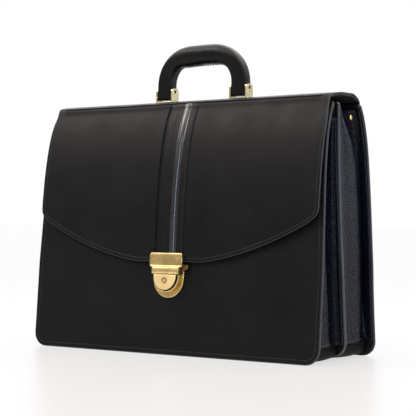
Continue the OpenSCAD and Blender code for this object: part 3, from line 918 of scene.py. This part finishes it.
# Studs on the rear gussets
STUD_BACK = 9.0
STUD_SIDES = 20
stud_low, stud_high = box_of("gusset_studs")
stud_y, stud_z = (stud_low.y + stud_high.y) / 2 + STUD_BACK, (stud_low.z + stud_high.z) / 2
points, faces = [], []
for side in (-1, 1):
    sec = through(rear_section(stud_z), 60)
    behind = sec[sec[:, 1] > stud_y - 0.6]
    x0 = float(behind[0, 0])
    shape = [(3.3, -0.6), (3.4, 0.1), (3.3, 0.5), (2.8, 1.1), (2.0, 1.6), (1.0, 1.9), (0.01, 2.0)]
    shape += [(0.01, -4.0), (1.4, -4.0), (1.4, -0.6)]
    base = len(points)
    for r, h in shape:
        for k in range(STUD_SIDES):
            a = 2 * math.pi * k / STUD_SIDES
            points.append((side * (x0 + 0.6 + h), stud_y + r * math.cos(a), stud_z + r * math.sin(a)))
    for i in range(len(shape)):
        j = (i + 1) % len(shape)
        first, second = base + i * STUD_SIDES, base + j * STUD_SIDES
        for k in range(STUD_SIDES):
            m = (k + 1) % STUD_SIDES
            faces.append((first + k, first + m, second + m, second + k))
studs = make("stud_domes", points, faces, [polished_brass])
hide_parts("gusset_studs")
bend(studs, "divider", "back", lambda co: rear_share(np.tile([[0, stud_y, stud_z]], (len(co), 1))))


# Handle: padded leather, thick and round at the grip, flat-sided at the legs
handle_y = (grip_low.y + grip_high.y) / 2
top_z, pin_z = grip_high.z, sum(v.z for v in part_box("handle_pins")) / 2 / MM
leg_out = grip_high.x
leg_w = 19.5
leg_in = leg_out - leg_w
OUT_R, IN_R, GRIP_H = 46.0, 20.0, 24.0


def bow_pair(stage, t):
    """Matching points on the handle's outer and inner lines, on the left half"""
    zo, zi = top_z - OUT_R, top_z - GRIP_H - IN_R
    foot = pin_z - 8.6
    if stage == 0:
        return (-leg_out, foot + (zo - foot) * t), (-leg_in, foot + (zi - foot) * t)
    if stage == 1:
        a = math.pi * (1 - t / 2)
        return ((-leg_out + OUT_R + OUT_R * math.cos(a), zo + OUT_R * math.sin(a)),
                (-leg_in + IN_R + IN_R * math.cos(a), zi + IN_R * math.sin(a)))
    return ((-leg_out + OUT_R) * (1 - t), top_z), ((-leg_in + IN_R) * (1 - t), top_z - GRIP_H)


left = np.array([bow_pair(0, k / 7) for k in range(7)] + [bow_pair(1, k / 16) for k in range(16)]
                + [bow_pair(2, k / 8) for k in range(9)])
mirrored = left[:-1][::-1] * np.array([-1, 1])
bow = np.concatenate([left, mirrored])
for _ in range(3):
    bow[1:-1] = 0.5 * bow[1:-1] + 0.25 * (bow[:-2] + bow[2:])
rows = []
for o, p in bow:
    c = (o + p) / 2
    up = (o - p) / 2
    half = np.linalg.norm(up)
    up = up / half
    g = smooth((c[1] - (top_z - 34)) / 24)
    depth = 7.1 + 3.4 * g
    power = 0.27 + 0.58 * g
    sag = g * (0.5 * math.sin(c[0] / 7.5 + 1.0) - 0.9 * math.exp(-((c[0] + 16) / 12) ** 2))
    fold = 0.0 if g < 0.02 else 0.22 * g * wave(c[0], c[1], 9, 61)
    row = []
    for k in range(36):
        a = 2 * math.pi * k / 36
        u = math.copysign(abs(math.cos(a)) ** power, math.cos(a)) * half
        v = math.copysign(abs(math.sin(a)) ** power, math.sin(a)) * depth
        bump = fold * wave(c[0] * 0.7, a * 12, 7, 67)
        v *= 1 + 0.03 * bump
        q = c + up * (u + (sag if u < 0 else 0))
        row.append((q[0], handle_y + v, q[1]))
    rows.append(row)
end_in = []
for row in (rows[0], rows[-1]):
    mid = np.mean(row, 0)
    end_in.append([[tuple(mid + (np.array(p) - mid) * f + np.array([0, 0, -dz])) for p in row]
                   for f, dz in ((0.94, 0.7), (0.8, 1.1))])
rows = [end_in[0][1], end_in[0][0]] + rows + [end_in[1][0], end_in[1][1]]
handle = grid_mesh("handle", rows, [handle_leather], close_rows=True, caps=True)
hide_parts("handle_grip", "handle_core")
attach(handle, "handle")
places = []
at, d = walk([p for _, p in bow], 3.6)
for q, e in zip(at, d):
    n = np.array([e[1], 0, -e[0]])
    n = n if n[2] < 0 or abs(q[0]) > leg_in - 3 else n
    g = smooth((q[1] - (top_z - 38)) / 24)
    for v in (-2.3, 2.3):
        sewn = (q[0] + n[0] * 0.05, handle_y + v, q[1] + n[2] * 0.05 - 0.5 * g * math.cos(q[0] / 24))
        places.append((sewn, (e[0], 0, e[1]), (n[0], 0, n[2])))
handle_stitches = stitch_mesh("handle_stitches", places, 2.6, 0.32)
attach(handle_stitches, "handle")


# Metal parts: the frame's own shapes with broken edges
def polished(name, node, body, material, width=0.35, angle=30.0, segments=3):
    """A node's own mesh, cleaned, with its sharp edges broken"""
    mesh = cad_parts[node].data.copy()
    mesh.name = name
    bm = bmesh.new()
    bm.from_mesh(mesh)
    bmesh.ops.remove_doubles(bm, verts=bm.verts[:], dist=0.00002)
    bmesh.ops.dissolve_limit(bm, angle_limit=math.radians(1.0), verts=bm.verts[:], edges=bm.edges[:])
    bm.to_mesh(mesh)
    bm.free()
    mesh.materials.clear()
    mesh.materials.append(material)
    mesh.polygons.foreach_set("material_index", np.zeros(len(mesh.polygons), np.int32))
    mesh.polygons.foreach_set("use_smooth", np.ones(len(mesh.polygons), bool))
    for name_of in ("custom_normal", "sharp_edge", "sharp_face"):
        found = mesh.attributes.get(name_of)
        if found:
            mesh.attributes.remove(found)
    o = put(name, mesh)
    cut = o.modifiers.new("edges", "BEVEL")
    cut.width = width * MM
    cut.segments = segments
    cut.limit_method = "ANGLE"
    cut.angle_limit = math.radians(angle)
    cut.harden_normals = False
    flat = o.modifiers.new("faces", "WEIGHTED_NORMAL")
    flat.keep_sharp = False
    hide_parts(node)
    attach(o, body)
    return o


# The lock body under the rim ring is dark brass. It paints the shadow in the gap between the rim and the
# base plate.
polished("lock_rim", "lock_body", "front", dark_brass_shade_and_patina, 0.4)
polished("lock_back_plate", "lock_backplate", "front", steel, 0.2)
polished("lock_rivet_set", "lock_rivets", "front", antique_brass, 0.25)
polished("lock_bolt", "lock_slide", "release", bronze, 0.4)
polished("key_barrel_turned", "key_barrel", "key_barrel", polished_brass, 0.12, 30, 2)
for word in ("left", "right"):
    polished(f"handle_bracket_{word}_brass", f"handle_bracket_{word}", "roof", bracket_brass)
polished("handle_pin_set", "handle_pins", "roof", gunmetal, 0.2)
polished("bracket_rivet_set", "bracket_rivets", "roof", antique_brass, 0.2)
polished("bracket_washer_set", "bracket_washers", "roof", steel, 0.2)
polished("hasp_tongue_steel", "hasp_tongue", "flap", steel, 0.25)
polished("hasp_back_plate", "hasp_backplate", "flap", steel, 0.15)
polished("hasp_rivet_set", "hasp_rivets", "flap", antique_brass, 0.2)


def axes_of(node):
    """The middle, outward normal and rise of a plate's front, from its largest face that looks forward"""
    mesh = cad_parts[node].data
    best = max((p for p in mesh.polygons if p.normal.y < -0.9), key=lambda p: p.area)
    out = np.array(best.normal, float)
    rise = np.cross(out, (1, 0, 0))
    co = np.array([v.co for v in mesh.vertices], float) / MM
    level = float(np.array(best.center, float) @ out) / MM
    up = co @ rise
    middle = out * level + rise * (up.min() + up.max()) / 2
    return middle, out, rise, (co[:, 0].max() - co[:, 0].min(), up.max() - up.min())


def stacked(name, materials, origin, rise, out, rings, profile, ring=False):
    """Outlines on a plate's plane, each raised to its level and joined to the next. A ring has no ends."""
    n, count = len(rings[0]), len(rings)
    points = [origin + np.array([x, 0, 0]) + rise * z + out * mark[1]
              for loop, mark in zip(rings, profile) for x, z in loop]
    faces, picks = [], []
    for i in range(count if ring else count - 1):
        up = (i + 1) % count
        faces += [(i * n + j, i * n + (j + 1) % n, up * n + (j + 1) % n, up * n + j) for j in range(n)]
        picks += [profile[up][2]] * n
    if not ring:
        faces += [tuple(range(n)), tuple((count - 1) * n + j for j in range(n))]
        picks += [profile[0][2], profile[-1][2]]
    return make(name, points, faces, materials, picks)


def plaque(name, node, body, materials, profile, radii, round_foot=False):
    """A pressed plate: rounded outlines, each with its inset, level over the frame's face and material"""
    middle, out, rise, (w, h) = axes_of(node)
    corners = [(-w / 2, -h / 2), (w / 2, -h / 2), (w / 2, h / 2), (-w / 2, h / 2)]
    foot = w / 2 - 0.01 if round_foot else radii
    rings = [outline(corners, [foot, foot, radii, radii], d, 60, 14) for d, _, _ in profile]
    o = stacked(name, materials, middle, rise, out, rings, profile)
    o.modifiers.new("faces", "WEIGHTED_NORMAL").keep_sharp = False
    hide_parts(node)
    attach(o, body)


plaque("hasp_plate_brass", "hasp_plate", "flap", [polished_brass, antique_brass],
       [(0.3, -3.85, 0), (0, -3.6, 0), (0, -0.5, 0), (0.15, -0.1, 0), (0.5, 0.15, 0), (1.3, 0.15, 0),
        (1.6, 0.0, 0), (1.9, -0.4, 0), (2.2, -0.45, 1)], 2.5)
plaque("hasp_bar_brass", "hasp_bar", "flap", [polished_brass, bar_brass],
       [(0.3, -4.8, 0), (0, -4.5, 0), (0, -0.6, 0), (0.2, -0.15, 0), (0.6, 0.0, 0), (1.2, 0.0, 0),
        (1.45, -0.22, 1), (1.8, -0.22, 1), (2.1, 0.0, 1), (2.8, 0.0, 1)], 1.2)
plaque("lock_base_plate", "lock_base", "front", [polished_brass, antique_brass],
       [(0.3, -1.9, 0), (0, -1.7, 0), (0, -0.45, 0), (0.15, -0.1, 0), (0.5, 0.05, 0), (1.4, 0.05, 1)],
       1.5, True)
# The face plate's side walls are dark brass. They paint the shade in the gap between the face and the rim.
plaque("lock_face_plate", "lock_face", "front", [dark_brass_shade_and_patina, matte_brass],
       [(0, -3.25, 0), (0, -0.5, 0), (0.15, -0.12, 1), (0.5, 0.0, 1), (1.4, 0.0, 1)], 0.6, True)

# A raised rim round the lock's face, and a ring round the keyhole
RIM_W, RIM_FOOT, RIM_TOP = 35.7, -0.1, 20.0
middle, out, rise, (_, body_h) = axes_of("lock_body")
rim_profile = [(0, -4.3, 0), (0, 0.4, 0), (0.15, 0.8, 0), (0.5, 1.0, 0), (1.2, 1.0, 0), (1.5, 0.8, 0),
               (1.65, 0.3, 0), (1.65, -0.4, 0)]
rim_corners = [(-RIM_W / 2, RIM_FOOT), (RIM_W / 2, RIM_FOOT), (RIM_W / 2, RIM_TOP), (-RIM_W / 2, RIM_TOP)]
rim_radii = [RIM_W / 2 - 0.01] * 2 + [0.8] * 2
rings = [outline(rim_corners, rim_radii, d, 60, 16) for d, _, _ in rim_profile]
rim = stacked("lock_rim_ring", [polished_brass], middle - rise * (body_h / 2), rise, out, rings, rim_profile,
              True)
rim.modifiers.new("faces", "WEIGHTED_NORMAL").keep_sharp = False
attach(rim, "front")

KEYHOLE_SIDES = 28
middle, out, rise, _ = axes_of("key_barrel")
keyhole_profile = [(3.1, -0.2, 0), (3.1, 0.35, 0), (2.9, 0.5, 0), (2.5, 0.5, 0), (2.3, 0.3, 0),
                   (2.3, -0.2, 0)]
turns = [2 * math.pi * k / KEYHOLE_SIDES for k in range(KEYHOLE_SIDES)]
rings = [[(r * math.cos(a), r * math.sin(a)) for a in turns] for r, _, _ in keyhole_profile]
keyhole = stacked("keyhole_ring", [dark_brass_shade_and_patina], middle, rise, out, rings, keyhole_profile, True)
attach(keyhole, "front")

# Stage, light and camera
FLOOR = 14
stage_mesh = bpy.data.meshes.new("floor")
stage_mesh.from_pydata([(-FLOOR, -FLOOR, 0), (FLOOR, -FLOOR, 0), (FLOOR, FLOOR, 0), (-FLOOR, FLOOR, 0)], [],
                       [(0, 1, 2, 3)])
floor = put("floor", stage_mesh)
floor_paint, t, shader = new_material("floor_paint", (0.33, 0.325, 0.32), 0.34, 0, 0.5)
place = add(t, "TexCoord", {}).outputs["Object"]
far_off = add(t, "VectorMath", {0: place}, operation="LENGTH").outputs["Value"]
paper = add(t, "Emission", {"Color": (1.0, 0.997, 0.992, 1), "Strength": 0.98})
share = remap(t, far_off, 0.3, 1.6, 0.68, 1.0, interpolation_type="SMOOTHSTEP")
surface = add(t, "MixShader", {0: share, 1: shader.outputs["BSDF"], 2: paper.outputs["Emission"]})
t.links.new(surface.outputs["Shader"], t.nodes["Material Output"].inputs["Surface"])
stage_mesh.materials.append(floor_paint)

world = bpy.data.worlds.new("studio")
bpy.context.scene.world = world
world.use_nodes = True
t = world.node_tree
background = t.nodes["Background"]
direction = add(t, "TexCoord", {}).outputs["Generated"]
parts = add(t, "SeparateXYZ", {"Vector": direction})


def ramp(value, start, end):
    return remap(t, value, start, end, 0.0, 1.0, interpolation_type="SMOOTHSTEP")


sides = mixed(t, ramp(parts.outputs["X"], 0.1, 0.6), (0.36, 0.36, 0.37), (0.16, 0.18, 0.27))
behind = add(t, "VectorMath", {0: direction, 1: (-0.58, 0.81, 0.0)}, operation="DOT_PRODUCT")
around = mixed(t, ramp(behind.outputs["Value"], 0.36, 0.70), sides, (1.7, 1.75, 1.9))
sky = mixed(t, ramp(parts.outputs["Z"], 0.30, 0.85), around, (3.3, 3.02, 2.82))
seen = add(t, "LightPath", {}).outputs["Is Camera Ray"]
t.links.new(mixed(t, seen, sky, (1.0, 1.0, 1.0)), background.inputs["Color"])
background.inputs["Strength"].default_value = 1.0


def area_light(name, place, target, size, power, colour):
    light = bpy.data.lights.new(name, "AREA")
    light.shape = "RECTANGLE"
    light.size, light.size_y = size
    light.energy = power
    light.color = colour
    o = put(name, light)
    o.location = place
    o.rotation_euler = (Vector(target) - Vector(place)).to_track_quat("-Z", "Y").to_euler()


area_light("front_softbox", (-0.9, -1.0, 1.35), (0, 0, 0.28), (0.9, 0.5), 12, (1.0, 0.955, 0.91))
area_light("side_softbox", (1.9, -0.75, 0.5), (0.1, 0.0, 0.15), (0.2, 1.3), 15, (0.66, 0.82, 1.0))
area_light("rear_strip", (1.35, 1.62, 0.4), (0.15, 0.0, 0.15), (0.14, 1.2), 1.6, (0.80, 0.89, 1.0))

LENS = 115.26
AZIMUTH = 35.47
camera_data = bpy.data.cameras.new("camera")
camera = put("camera", camera_data)
bpy.context.scene.camera = camera
camera_data.sensor_width = 36
camera_data.lens = LENS
camera_data.shift_y = 0.0154
camera_data.clip_start, camera_data.clip_end = 0.01, 100
camera.location = (0.9094, -1.2576, 0.1586)
camera.rotation_euler = (math.radians(90), 0, math.radians(AZIMUTH))
bpy.context.scene.view_settings.view_transform = "Standard"
